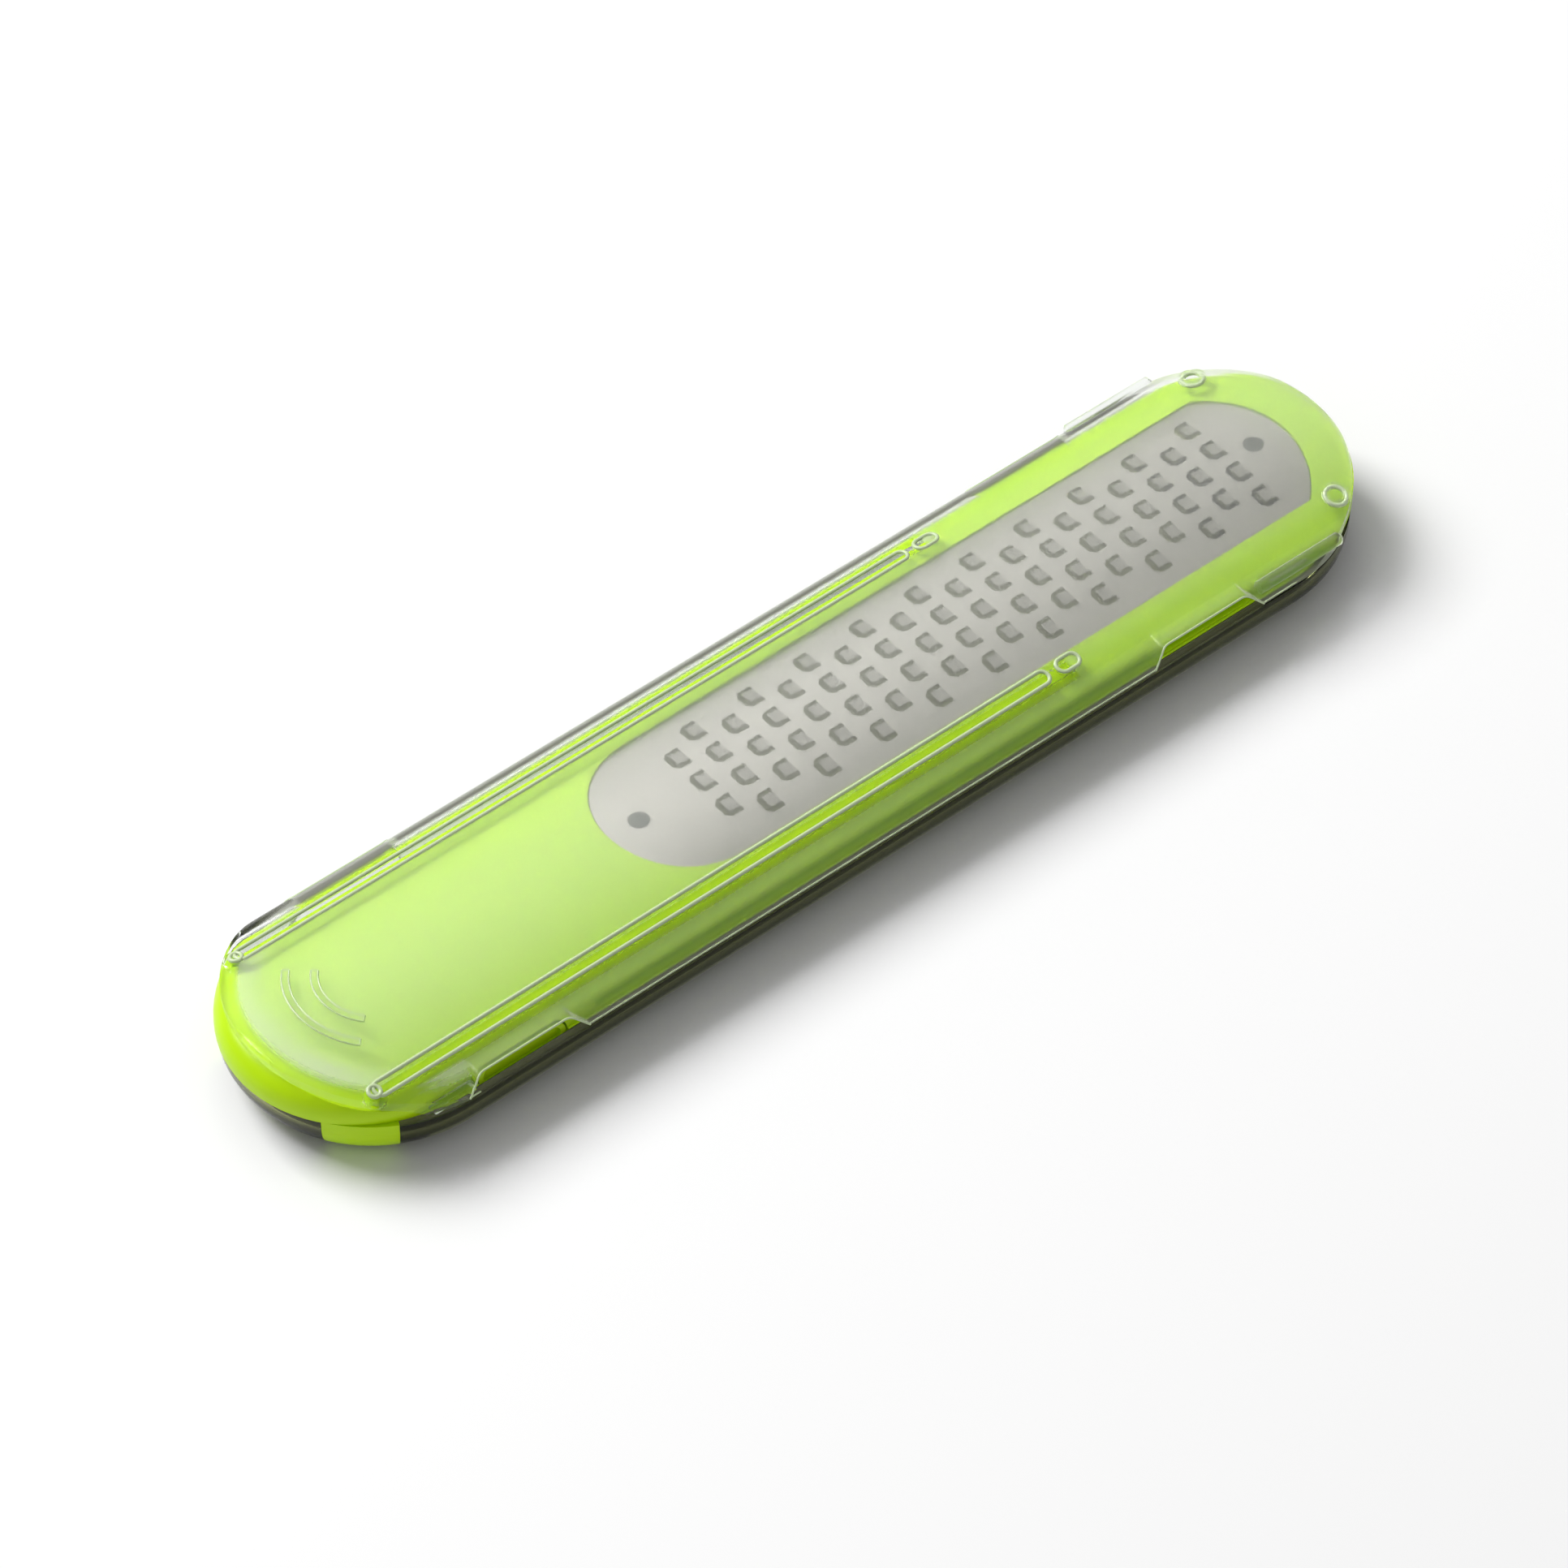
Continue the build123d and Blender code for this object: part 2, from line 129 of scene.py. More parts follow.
class ZesterLightSettings(PropertyGroup):
    key_energy: FloatProperty(
        name="Key", description="Power of the key light", default=31.0, subtype="POWER"
    )
    key_size: length_property("Key size", "Width of the key light", 0.88)
    box_energy: FloatProperty(
        name="Soft box", description="Power of the soft box", default=3.0, subtype="POWER"
    )
    box_size: length_property("Soft box size", "Width of the soft box the blade mirrors", 1.0)
    sky_strength: FloatProperty(name="Sky", description="Strength of the surround", default=0.32)
    floor_colour: colour_property("Floor", "Colour of the seamless floor", (0.97, 0.97, 0.97, 1.0))


class ZesterColourSettings(PropertyGroup):
    lime: colour_property("Lime", "Moulded frame", (0.50, 0.78, 0.0015, 1.0))
    lime_deep: colour_property("Deep lime", "Frame's thinner and shaded places", (0.40, 0.68, 0.0015, 1.0))
    frost: colour_property("Frost", "Haze in the frosted cover", (0.84, 0.86, 0.78, 1.0))
    # Pale colour of the ridges and rolled edges: a painted highlight for the light their clear plastic
    # catches
    painted_ridge_highlight: colour_property("Ridge", "Ridges and rolled edges of the cover", (0.56, 0.68, 0.40, 1.0))
    clear: colour_property("Clear", "Clear plastic", (0.97, 0.985, 0.97, 1.0))
    # Dark olive of the tray: partly the plastic's green tint, partly painted shade for the shadowed inside
    # seen through it
    tray_tint_and_shade: colour_property("Tray", "Clear plastic of the tray", (0.28, 0.30, 0.13, 1.0))
    steel: colour_property("Steel", "Etched blade", (0.63, 0.60, 0.56, 1.0))
    rivet: colour_property("Rivet", "Blade's rivets", (0.12, 0.13, 0.12, 1.0))


class ZesterTrimSettings(PropertyGroup):
    bead_radius: length_property("Bead", "Radius of the ridges beside the tracks", 0.00032)
    bead_spacing: length_property("Bead spacing", "Distance between a track's two ridges", 0.0022)
    mark_bead: length_property("Mark bead", "Radius of the ridges round the thumb marks", 0.00013)
    frost_haze: FloatProperty(name="Haze", description="Share of white haze on the roof", default=0.12)
    frost_veil: FloatProperty(name="Veil", description="Share of white haze added at a slant", default=0.36)
    # Painted highlight: share of white haze in a thin band along each shoulder, standing in for the light
    # the rounded shoulder reflects
    shoulder_painted_highlight: FloatProperty(
        name="Shoulder", description="Share of white haze on the shoulder", default=0.06
    )
    rim_bead: length_property("Rim bead", "Radius of the rolled edges round the side windows", 0.00016)
    lip_bead: length_property("Lip bead", "Radius of the cover's rolled lower edge", 0.00011)
    frost_roughness: FloatProperty(
        name="Frost roughness", description="Blur of the frosted cover", default=0.36
    )


def settings():
    """All settings of the scene."""
    scene = bpy.context.scene
    return scene.zester_camera, scene.zester_light, scene.zester_colours, scene.zester_trim


def node(tree, kind, place, **values):
    """A node with its input values set by socket name."""
    made = tree.nodes.new(kind)
    made.location = place
    for name, value in values.items():
        made.inputs[name.replace("_", " ")].default_value = value
    return made


def grain_group():
    """Shared mask: fine unevenness of a moulded or etched surface."""
    name = "surface_grain"
    if name in bpy.data.node_groups:
        return bpy.data.node_groups[name]
    tree = bpy.data.node_groups.new(name, "ShaderNodeTree")
    face = tree.interface
    scale = face.new_socket("Scale", in_out="INPUT", socket_type="NodeSocketFloat")
    scale.default_value = 400.0
    stretch = face.new_socket("Stretch", in_out="INPUT", socket_type="NodeSocketVector")
    stretch.default_value = (1.0, 1.0, 1.0)
    face.new_socket("Mask", in_out="OUTPUT", socket_type="NodeSocketFloat")
    face.new_socket("Speckle", in_out="OUTPUT", socket_type="NodeSocketFloat")
    start = node(tree, "NodeGroupInput", (-800, 0))
    place = node(tree, "ShaderNodeTexCoord", (-800, -200))
    stretched = node(tree, "ShaderNodeVectorMath", (-600, 0))
    stretched.operation = "MULTIPLY"
    broad = node(tree, "ShaderNodeTexNoise", (-400, 100), Detail=3.0, Roughness=0.5)
    fine = node(tree, "ShaderNodeTexNoise", (-400, -150), Detail=6.0, Roughness=0.7)
    faster = node(tree, "ShaderNodeMath", (-600, -250))
    faster.operation = "MULTIPLY"
    faster.inputs[1].default_value = 9.0
    end = node(tree, "NodeGroupOutput", (0, 0))
    link = tree.links.new
    link(place.outputs["Object"], stretched.inputs[0])
    link(start.outputs["Stretch"], stretched.inputs[1])
    link(stretched.outputs["Vector"], broad.inputs["Vector"])
    link(stretched.outputs["Vector"], fine.inputs["Vector"])
    link(start.outputs["Scale"], broad.inputs["Scale"])
    link(start.outputs["Scale"], faster.inputs[0])
    link(faster.outputs["Value"], fine.inputs["Scale"])
    link(broad.outputs["Fac"], end.inputs["Mask"])
    link(fine.outputs["Fac"], end.inputs["Speckle"])
    return tree


def band_group():
    """Shared mask: 1 in a lengthwise band on each side, up to End, and 0 elsewhere."""
    name = "track_band"
    if name in bpy.data.node_groups:
        return bpy.data.node_groups[name]
    tree = bpy.data.node_groups.new(name, "ShaderNodeTree")
    face = tree.interface
    for label, value in (("Middle", TRACK_Y), ("Half width", 0.001), ("Softness", 0.0004), ("End", 0.04)):
        socket = face.new_socket(label, in_out="INPUT", socket_type="NodeSocketFloat")
        socket.default_value = value
    face.new_socket("Mask", in_out="OUTPUT", socket_type="NodeSocketFloat")
    start = node(tree, "NodeGroupInput", (-900, 0))
    place = node(tree, "ShaderNodeTexCoord", (-900, -200))
    parts = node(tree, "ShaderNodeSeparateXYZ", (-720, -200))
    side = node(tree, "ShaderNodeMath", (-540, 0))
    side.operation = "ABSOLUTE"
    offset = node(tree, "ShaderNodeMath", (-380, 0))
    offset.operation = "SUBTRACT"
    size = node(tree, "ShaderNodeMath", (-220, 0))
    size.operation = "ABSOLUTE"
    outer = node(tree, "ShaderNodeMath", (-220, -180))
    outer.operation = "ADD"
    fade = node(tree, "ShaderNodeMapRange", (-60, 0), To_Min=1.0, To_Max=0.0)
    before = node(tree, "ShaderNodeMath", (-220, -360))
    before.operation = "LESS_THAN"
    both = node(tree, "ShaderNodeMath", (120, 0))
    both.operation = "MULTIPLY"
    end = node(tree, "NodeGroupOutput", (300, 0))
    link = tree.links.new
    link(place.outputs["Object"], parts.inputs[0])
    link(parts.outputs["Y"], side.inputs[0])
    link(side.outputs[0], offset.inputs[0])
    link(start.outputs["Middle"], offset.inputs[1])
    link(offset.outputs[0], size.inputs[0])
    link(start.outputs["Half width"], outer.inputs[0])
    link(start.outputs["Softness"], outer.inputs[1])
    link(size.outputs[0], fade.inputs["Value"])
    link(start.outputs["Half width"], fade.inputs["From Min"])
    link(outer.outputs[0], fade.inputs["From Max"])
    link(parts.outputs["X"], before.inputs[0])
    link(start.outputs["End"], before.inputs[1])
    link(fade.outputs["Result"], both.inputs[0])
    link(before.outputs[0], both.inputs[1])
    link(both.outputs[0], end.inputs["Mask"])
    return tree


def end_group():
    """Shared masks: a soft band inside the near end where a highlight of white haze is painted, and its
    clear outer lip.
    """
    name = "near_end_roll"
    if name in bpy.data.node_groups:
        return bpy.data.node_groups[name]
    tree = bpy.data.node_groups.new(name, "ShaderNodeTree")
    face = tree.interface
    for label, value in (("Centre", END_CENTRE_X), ("Start", 0.0150), ("Full", 0.0190), ("Lip", 0.0205)):
        socket = face.new_socket(label, in_out="INPUT", socket_type="NodeSocketFloat")
        socket.default_value = value
    face.new_socket("Roll", in_out="OUTPUT", socket_type="NodeSocketFloat")
    face.new_socket("Lip", in_out="OUTPUT", socket_type="NodeSocketFloat")
    start = node(tree, "NodeGroupInput", (-900, 0))
    place = node(tree, "ShaderNodeTexCoord", (-900, -200))
    flat = node(tree, "ShaderNodeVectorMath", (-720, -200))
    flat.operation = "MULTIPLY"
    flat.inputs[1].default_value = (1.0, 1.0, 0.0)
    centre = node(tree, "ShaderNodeCombineXYZ", (-720, 0))
    reach = node(tree, "ShaderNodeVectorMath", (-540, -100))
    reach.operation = "DISTANCE"
    parts = node(tree, "ShaderNodeSeparateXYZ", (-540, -300))
    near = node(tree, "ShaderNodeMath", (-360, -300))
    near.operation = "LESS_THAN"
    rise = node(tree, "ShaderNodeMapRange", (-360, 100))
    rise.interpolation_type = "SMOOTHSTEP"
    fall = node(tree, "ShaderNodeMapRange", (-360, -100), To_Min=1.0, To_Max=0.0)
    fall.interpolation_type = "SMOOTHSTEP"
    band = node(tree, "ShaderNodeMath", (-160, 0))
    band.operation = "MULTIPLY"
    # Band inside the near end where the highlight is painted
    highlight_mask = node(tree, "ShaderNodeMath", (20, 0))
    highlight_mask.operation = "MULTIPLY"
    outside = node(tree, "ShaderNodeMath", (-160, -200))
    outside.operation = "SUBTRACT"
    outside.inputs[0].default_value = 1.0
    lip = node(tree, "ShaderNodeMath", (20, -200))
    lip.operation = "MULTIPLY"
    end = node(tree, "NodeGroupOutput", (220, 0))
    link = tree.links.new
    link(place.outputs["Object"], flat.inputs[0])
    link(start.outputs["Centre"], centre.inputs["X"])
    link(flat.outputs["Vector"], reach.inputs[0])
    link(centre.outputs["Vector"], reach.inputs[1])
    link(place.outputs["Object"], parts.inputs[0])
    link(parts.outputs["X"], near.inputs[0])
    link(start.outputs["Centre"], near.inputs[1])
    link(reach.outputs["Value"], rise.inputs["Value"])
    link(start.outputs["Start"], rise.inputs["From Min"])
    link(start.outputs["Full"], rise.inputs["From Max"])
    link(reach.outputs["Value"], fall.inputs["Value"])
    link(start.outputs["Full"], fall.inputs["From Min"])
    link(start.outputs["Lip"], fall.inputs["From Max"])
    link(rise.outputs["Result"], band.inputs[0])
    link(fall.outputs["Result"], band.inputs[1])
    link(band.outputs[0], highlight_mask.inputs[0])
    link(near.outputs[0], highlight_mask.inputs[1])
    link(fall.outputs["Result"], outside.inputs[1])
    link(outside.outputs[0], lip.inputs[0])
    link(near.outputs[0], lip.inputs[1])
    link(highlight_mask.outputs[0], end.inputs["Roll"])
    link(lip.outputs[0], end.inputs["Lip"])
    return tree


def grouped(tree, group, place, **values):
    """A node group used in a material, with its inputs set."""
    made = tree.nodes.new("ShaderNodeGroup")
    made.node_tree = group
    made.location = place
    for name, value in values.items():
        made.inputs[name.replace("_", " ")].default_value = value
    return made


def new_material(name):
    """An empty node material with its output."""
    material = bpy.data.materials.new(name)
    material.use_nodes = True
    material.node_tree.nodes.clear()
    output = node(material.node_tree, "ShaderNodeOutputMaterial", (900, 0))
    return material, material.node_tree, output


def ramp(tree, place, low, high, from_low=0.3, from_high=0.7):
    """A value brought from one range to another."""
    return node(
        tree, "ShaderNodeMapRange", place,
        From_Min=from_low, From_Max=from_high, To_Min=low, To_Max=high,
    )


def plastic_material(name, colour, deep, roughness):
    """Opaque moulded plastic with faint flow marks and a fine skin."""
    material, tree, output = new_material(name)
    link = tree.links.new
    grain = grouped(tree, grain_group(), (-600, 0), Scale=60.0, Stretch=(0.35, 1.0, 1.0))
    share = ramp(tree, (-380, 160), 0.0, 0.45)
    tint = node(tree, "ShaderNodeMix", (-160, 160))
    tint.data_type = "RGBA"
    tint.inputs[6].default_value = colour
    tint.inputs[7].default_value = deep
    gloss = ramp(tree, (-380, -60), roughness - 0.05, roughness + 0.07)
    bump = node(tree, "ShaderNodeBump", (-160, -260), Strength=0.06, Distance=0.0001)
    shader = node(tree, "ShaderNodeBsdfPrincipled", (200, 0))
    shader.inputs["IOR"].default_value = 1.49
    shader.inputs["Specular IOR Level"].default_value = 0.2
    shader.inputs["Coat Weight"].default_value = 0.04
    shader.inputs["Coat Roughness"].default_value = 0.12
    shader.inputs["Subsurface Weight"].default_value = 0.12
    shader.inputs["Subsurface Radius"].default_value = (0.6, 1.0, 0.1)
    shader.inputs["Subsurface Scale"].default_value = 0.002
    link(grain.outputs["Mask"], share.inputs["Value"])
    link(share.outputs["Result"], tint.inputs[0])
    link(tint.outputs[2], shader.inputs["Base Color"])
    link(grain.outputs["Speckle"], gloss.inputs["Value"])
    link(gloss.outputs["Result"], shader.inputs["Roughness"])
    link(grain.outputs["Speckle"], bump.inputs["Height"])
    link(bump.outputs["Normal"], shader.inputs["Normal"])
    link(shader.outputs["BSDF"], output.inputs["Surface"])
    return material


def through_light(tree, shader, output, tint):
    """Lets light through a see-through wall, so what lies behind it is lit."""
    link = tree.links.new
    path = node(tree, "ShaderNodeLightPath", (300, 320))
    clear = node(tree, "ShaderNodeBsdfTransparent", (300, -260))
    clear.inputs["Color"].default_value = tint
    mix = node(tree, "ShaderNodeMixShader", (640, 0))
    link(path.outputs["Is Shadow Ray"], mix.inputs[0])
    link(shader, mix.inputs[1])
    link(clear.outputs["BSDF"], mix.inputs[2])
    link(mix.outputs["Shader"], output.inputs["Surface"])


def clear_material(name, colour, roughness, shade):
    """Clear moulded plastic with faint ripples."""
    material, tree, output = new_material(name)
    link = tree.links.new
    grain = grouped(tree, grain_group(), (-600, 0), Scale=90.0)
    gloss = ramp(tree, (-380, 0), roughness, roughness + 0.05)
    bump = node(tree, "ShaderNodeBump", (-160, -260), Strength=0.05, Distance=0.0002)
    shader = node(tree, "ShaderNodeBsdfPrincipled", (0, 0))
    shader.inputs["Base Color"].default_value = colour
    shader.inputs["IOR"].default_value = 1.25
    shader.inputs["Transmission Weight"].default_value = 1.0
    shader.inputs["Specular IOR Level"].default_value = 0.15
    shader.inputs["Coat Weight"].default_value = 0.08
    shader.inputs["Coat Roughness"].default_value = 0.03
    link(grain.outputs["Mask"], gloss.inputs["Value"])
    link(gloss.outputs["Result"], shader.inputs["Roughness"])
    link(grain.outputs["Mask"], bump.inputs["Height"])
    link(bump.outputs["Normal"], shader.inputs["Normal"])
    through_light(tree, shader.outputs["BSDF"], output, shade)
    return material


def frosted_material(name, colours, trim):
    """Frosted cover: hazy and rough on the roof, clear along the tracks and at the near lip, with
    highlights painted in white haze along the shoulders and inside the near end.
    """
    material, tree, output = new_material(name)
    link = tree.links.new
    place = node(tree, "ShaderNodeTexCoord", (-1200, 200))
    parts = node(tree, "ShaderNodeSeparateXYZ", (-1000, 50))
    high = ramp(tree, (-800, 50), 0.0, trim.frost_haze, 0.0105, 0.0125)
    band = grouped(
        tree, band_group(), (-1000, 300),
        Middle=0.0163, Half_width=0.0016, Softness=0.0006, End=TRACK_POCKET_X,
    )
    # Thin band along each shoulder where a highlight is painted with white haze
    shoulder = grouped(
        tree, band_group(), (-1000, 500),
        Middle=0.0196, Half_width=0.0002, Softness=0.0013, End=0.09,
    )
    end = grouped(tree, end_group(), (-1000, 600))
    bare = node(tree, "ShaderNodeMath", (-780, 400))
    bare.operation = "MAXIMUM"
    frosted = node(tree, "ShaderNodeMath", (-600, 400))
    frosted.operation = "SUBTRACT"
    frosted.inputs[0].default_value = 1.0
    grain = grouped(tree, grain_group(), (-1000, -400), Scale=250.0)
    gloss = ramp(tree, (-800, -400), trim.frost_roughness * 0.85, trim.frost_roughness * 1.15)
    dulled = node(tree, "ShaderNodeMath", (-400, -100))
    dulled.operation = "MULTIPLY"
    least = node(tree, "ShaderNodeMath", (-220, -100))
    least.operation = "MAXIMUM"
    least.inputs[1].default_value = 0.04
    bump = node(tree, "ShaderNodeBump", (-60, -300), Strength=0.04, Distance=0.00005)
    glass = node(tree, "ShaderNodeBsdfPrincipled", (120, 0))
    glass.inputs["Base Color"].default_value = colours.clear
    glass.inputs["IOR"].default_value = 1.15
    glass.inputs["Transmission Weight"].default_value = 1.0
    glass.inputs["Coat Weight"].default_value = 0.4
    glass.inputs["Coat Roughness"].default_value = 0.22
    milk = node(tree, "ShaderNodeBsdfPrincipled", (120, -420))
    milk.inputs["Base Color"].default_value = colours.frost
    milk.inputs["Roughness"].default_value = 0.5
    slant = node(tree, "ShaderNodeLayerWeight", (-800, 820), Blend=0.5)
    veil = ramp(tree, (-600, 820), 0.0, trim.frost_veil, 0.5, 0.85)
    raised = node(tree, "ShaderNodeMath", (-400, 700))
    raised.operation = "ADD"
    # Adds the shoulder's painted highlight to the roof's haze
    haze_with_shoulder_highlight = node(tree, "ShaderNodeMath", (-400, 560))
    haze_with_shoulder_highlight.operation = "MULTIPLY_ADD"
    haze_with_shoulder_highlight.inputs[1].default_value = trim.shoulder_painted_highlight
    # Painted highlight inside the near end: the band is made uneven by grain, then added to the haze
    patch = grouped(tree, grain_group(), (-1000, 1000), Scale=70.0)
    highlight_mask = node(tree, "ShaderNodeMath", (-600, 1000))
    highlight_mask.operation = "MULTIPLY"
    haze_and_highlights = node(tree, "ShaderNodeMath", (-220, 760))
    haze_and_highlights.operation = "MULTIPLY_ADD"
    haze_and_highlights.inputs[1].default_value = NEAR_END_PAINTED_HIGHLIGHT
    haze = node(tree, "ShaderNodeMath", (-60, 600))
    haze.operation = "MULTIPLY"
    hazy = node(tree, "ShaderNodeMixShader", (460, 0))
    link(place.outputs["Object"], parts.inputs[0])
    link(parts.outputs["Z"], high.inputs["Value"])
    link(band.outputs["Mask"], bare.inputs[0])
    link(end.outputs["Lip"], bare.inputs[1])
    link(bare.outputs[0], frosted.inputs[1])
    link(grain.outputs["Speckle"], gloss.inputs["Value"])
    link(gloss.outputs["Result"], dulled.inputs[0])
    link(frosted.outputs[0], dulled.inputs[1])
    link(dulled.outputs[0], least.inputs[0])
    link(least.outputs[0], glass.inputs["Roughness"])
    link(grain.outputs["Speckle"], bump.inputs["Height"])
    link(bump.outputs["Normal"], glass.inputs["Normal"])
    link(slant.outputs["Facing"], veil.inputs["Value"])
    link(veil.outputs["Result"], raised.inputs[0])
    link(high.outputs["Result"], raised.inputs[1])
    link(end.outputs["Roll"], highlight_mask.inputs[0])
    link(patch.outputs["Mask"], highlight_mask.inputs[1])
    link(highlight_mask.outputs[0], haze_and_highlights.inputs[0])
    link(shoulder.outputs["Mask"], haze_with_shoulder_highlight.inputs[0])
    link(raised.outputs[0], haze_with_shoulder_highlight.inputs[2])
    link(haze_with_shoulder_highlight.outputs[0], haze_and_highlights.inputs[2])
    link(haze_and_highlights.outputs[0], haze.inputs[0])
    link(frosted.outputs[0], haze.inputs[1])
    link(haze.outputs[0], hazy.inputs[0])
    link(glass.outputs["BSDF"], hazy.inputs[1])
    link(milk.outputs["BSDF"], hazy.inputs[2])
    through_light(tree, hazy.outputs["Shader"], output, COVER_SHADE)
    return material


def ridge_material(name, colour):
    """Pale glossy ridge: the pale colour is a painted highlight for the light that the clear ridges catch.
    """
    material, tree, output = new_material(name)
    link = tree.links.new
    grain = grouped(tree, grain_group(), (-600, 0), Scale=40.0)
    gloss = ramp(tree, (-380, 0), 0.12, 0.28)
    shader = node(tree, "ShaderNodeBsdfPrincipled", (0, 0))
    shader.inputs["Base Color"].default_value = colour
    link(grain.outputs["Mask"], gloss.inputs["Value"])
    link(gloss.outputs["Result"], shader.inputs["Roughness"])
    link(shader.outputs["BSDF"], output.inputs["Surface"])
    return material


def steel_material(name, colour):
    """Etched stainless sheet: satin, with fine lengthwise grain."""
    material, tree, output = new_material(name)
    link = tree.links.new
    grain = grouped(tree, grain_group(), (-600, 0), Scale=300.0, Stretch=(0.05, 1.0, 1.0))
    tone = ramp(tree, (-380, 160), 0.92, 1.05)
    tint = node(tree, "ShaderNodeMix", (-160, 160))
    tint.data_type = "RGBA"
    tint.blend_type = "MULTIPLY"
    tint.inputs[0].default_value = 1.0
    tint.inputs[6].default_value = colour
    gloss = ramp(tree, (-380, -60), 0.24, 0.36)
    bump = node(tree, "ShaderNodeBump", (-160, -260), Strength=0.08, Distance=0.00005)
    shader = node(tree, "ShaderNodeBsdfPrincipled", (200, 0))
    shader.inputs["Metallic"].default_value = 1.0
    link(grain.outputs["Speckle"], tone.inputs["Value"])
    link(tone.outputs["Result"], tint.inputs[7])
    link(tint.outputs[2], shader.inputs["Base Color"])
    link(grain.outputs["Mask"], gloss.inputs["Value"])
    link(gloss.outputs["Result"], shader.inputs["Roughness"])
    link(grain.outputs["Speckle"], bump.inputs["Height"])
    link(bump.outputs["Normal"], shader.inputs["Normal"])
    link(shader.outputs["BSDF"], output.inputs["Surface"])
    return material


def floor_material(name, colour):
    """Matt paper floor with a faint tooth."""
    material, tree, output = new_material(name)
    link = tree.links.new
    grain = grouped(tree, grain_group(), (-400, 0), Scale=8.0)
    bump = node(tree, "ShaderNodeBump", (-160, -200), Strength=0.02, Distance=0.0001)
    shader = node(tree, "ShaderNodeBsdfPrincipled", (200, 0), Roughness=0.9)
    shader.inputs["Base Color"].default_value = colour
    shader.inputs["Specular IOR Level"].default_value = 0.1
    link(grain.outputs["Speckle"], bump.inputs["Height"])
    link(bump.outputs["Normal"], shader.inputs["Normal"])
    link(shader.outputs["BSDF"], output.inputs["Surface"])
    return material


def dress(node_name, material):
    """Gives a carried-over solid its material."""
    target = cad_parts[node_name]
    target.data.materials.clear()
    target.data.materials.append(material)


def roof_z(y, proud=0.0):
    """Height of the cover's arched roof at a distance y from the middle."""
    return CROWN_HEIGHT - CROWN_RADIUS + sqrt(CROWN_RADIUS ** 2 - y ** 2) + proud


def wall_y(z):
    """Half width of the cover's rounded shoulder at a height z."""
    return SHOULDER_CENTRE_Y + sqrt(SHOULDER_RADIUS ** 2 - (z - SHOULDER_CENTRE_Z) ** 2)


def tube(name, points, radius, closed, material):
    """Ridge or rolled edge along a path of points, riding on the cover."""
    curve = bpy.data.curves.new(name, "CURVE")
    curve.dimensions = "3D"
    curve.bevel_depth = radius
    curve.bevel_resolution = 4
    curve.resolution_u = 2
    spline = curve.splines.new("POLY")
    spline.points.add(len(points) - 1)
    for point, place in zip(spline.points, points):
        point.co = (*place, 1.0)
    spline.use_cyclic_u = closed
    curve.use_fill_caps = not closed
    made = bpy.data.objects.new(name, curve)
    bpy.context.scene.collection.objects.link(made)
    made.data.materials.append(material)
    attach(made, "cover")
    return made


def slot_loop(x_low, x_high, half, side, sink):
    """Points of a long rounded loop round a track, on the roof."""
    points = []
    steps = LOOP_END_STEPS
    for index in range(steps + 1):
        turn = -pi / 2 + pi * index / steps
        points.append((x_high - half + half * cos(turn), half * sin(turn)))
    run = x_high - x_low
    count = LOOP_RUN_STEPS
    for index in range(1, count):
        points.append((x_high - half - (run - half - half) * index / count, half))
    for index in range(steps + 1):
        turn = pi / 2 + pi * index / steps
        points.append((x_low + half + half * cos(turn), half * sin(turn)))
    for index in range(1, count):
        points.append((x_low + half + (run - half - half) * index / count, -half))
    return [Vector((x, side * TRACK_Y + y, roof_z(side * TRACK_Y + y) - sink)) for x, y in points]


def ring_loop(centre_x, centre_y, radius):
    """Points of a circle that lies on the roof."""
    turns = [2 * pi * index / RING_STEPS for index in range(RING_STEPS)]
    flat = [(centre_x + radius * cos(turn), centre_y + radius * sin(turn)) for turn in turns]
    return [Vector((x, y, roof_z(y))) for x, y in flat]


def mark_loop(radius):
    """Points round one curved thumb mark, on the roof."""
    half = MARK_WIDTH / 2
    steps = MARK_STEPS
    flat = []
    for index in range(steps + 1):
        turn = pi - MARK_HALF_ANGLE + 2 * MARK_HALF_ANGLE * index / steps
        flat.append((radius + half, turn))
    for index in range(steps + 1):
        turn = pi + MARK_HALF_ANGLE - 2 * MARK_HALF_ANGLE * index / steps
        flat.append((radius - half, turn))
    places = [(MARK_CENTRE_X + reach * cos(turn), reach * sin(turn)) for reach, turn in flat]
    return [Vector((x, y, roof_z(y))) for x, y in places]


def window_rim(centre_x, side):
    """Points along the rounded edge of a side window, on the cover's outer wall."""
    corners = [
        Vector((centre_x - WINDOW_HALF - WINDOW_SLOPE, 0, COVER_EDGE)),
        Vector((centre_x - WINDOW_HALF, 0, WINDOW_TOP)),
        Vector((centre_x + WINDOW_HALF, 0, WINDOW_TOP)),
        Vector((centre_x + WINDOW_HALF + WINDOW_SLOPE, 0, COVER_EDGE)),
    ]
    points = [corners[0]]
    for before, corner, after in zip(corners, corners[1:], corners[2:]):
        start = corner + (before - corner).normalized() * WINDOW_CORNER
        stop = corner + (after - corner).normalized() * WINDOW_CORNER
        for step in range(CORNER_STEPS + 1):
            share = step / CORNER_STEPS
            points.append(start * (1 - share) ** 2 + corner * 2 * share * (1 - share) + stop * share ** 2)
    points.append(corners[3])
    return [Vector((point.x, side * wall_y(point.z), point.z)) for point in points]


